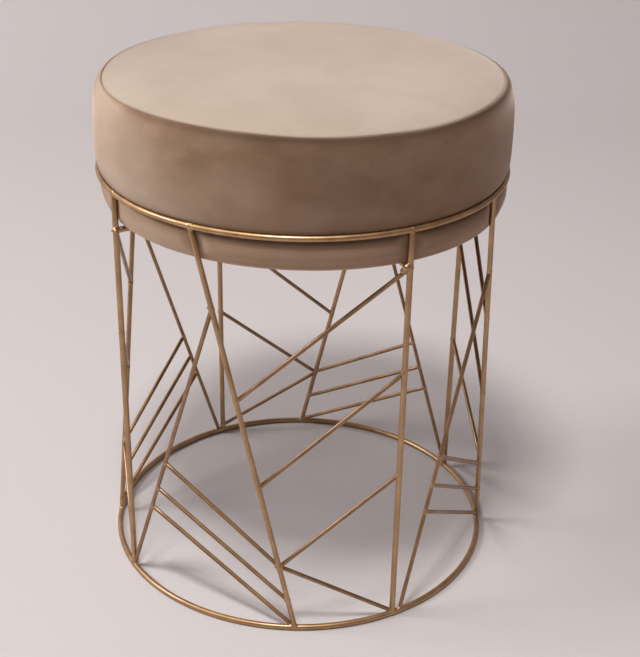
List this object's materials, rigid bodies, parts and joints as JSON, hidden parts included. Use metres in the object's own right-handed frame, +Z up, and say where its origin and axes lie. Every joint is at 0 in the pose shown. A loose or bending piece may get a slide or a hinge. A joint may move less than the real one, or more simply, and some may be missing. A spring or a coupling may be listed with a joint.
{
  "type": "vanity stool",
  "caption": "Round vanity stool: a padded velvet seat sits in the top ring of an open, gold-finished drum of welded wire struts that slant in a geometric pattern.",
  "frame": {"origin": "on the floor, at the middle of the bottom ring", "axes": "+Z up through the seat; -Y towards the viewer of the picture and +X to the right"},
  "size_m": [0.35, 0.35, 0.45],
  "materials": {
    "gold_wire": "gold lacquer on steel wire, satin to gloss",
    "zinc_screw": "zinc plated",
    "plywood": "bare plywood",
    "foam": "upholstery foam",
    "velvet": "short-pile velvet, taupe",
    "lining": "thin non-woven lining"
  },
  "bodies": {
    "root": {"top_ring": "gold_wire", "bottom_ring": "gold_wire", "upright_1": "gold_wire", "upright_2": "gold_wire", "upright_3": "gold_wire", "upright_4": "gold_wire", "leaning_strut_1": "gold_wire", "leaning_strut_2": "gold_wire", "leaning_strut_3": "gold_wire", "leaning_strut_4": "gold_wire", "diagonal_1": "gold_wire", "diagonal_2": "gold_wire", "diagonal_3": "gold_wire", "diagonal_4": "gold_wire", "rung_1_upper": "gold_wire", "rung_1_middle": "gold_wire", "rung_1_lower": "gold_wire", "rung_2_upper": "gold_wire", "rung_2_middle": "gold_wire", "rung_2_lower": "gold_wire", "rung_3_upper": "gold_wire", "rung_3_middle": "gold_wire", "rung_3_lower": "gold_wire", "rung_4_upper": "gold_wire", "rung_4_middle": "gold_wire", "rung_4_lower": "gold_wire", "brace_1_upper": "gold_wire", "brace_1_middle": "gold_wire", "brace_1_lower": "gold_wire", "brace_1_foot": "gold_wire", "brace_2_upper": "gold_wire", "brace_2_middle": "gold_wire", "brace_2_lower": "gold_wire", "brace_2_foot": "gold_wire", "brace_3_upper": "gold_wire", "brace_3_middle": "gold_wire", "brace_3_lower": "gold_wire", "brace_3_foot": "gold_wire", "brace_4_upper": "gold_wire", "brace_4_middle": "gold_wire", "brace_4_lower": "gold_wire", "brace_4_foot": "gold_wire", "seat_bar_long": "gold_wire", "seat_bar_half_1": "gold_wire", "seat_bar_half_2": "gold_wire", "seat_tab_1": "gold_wire", "seat_tab_2": "gold_wire", "seat_tab_3": "gold_wire", "seat_tab_4": "gold_wire", "seat_screw_1": "zinc_screw", "seat_screw_2": "zinc_screw", "seat_screw_3": "zinc_screw", "seat_screw_4": "zinc_screw", "seat_board": "plywood", "foam_core": "foam", "velvet_top": "velvet", "velvet_side": "velvet", "dust_cover": "lining"}
  },
  "joints": []
}
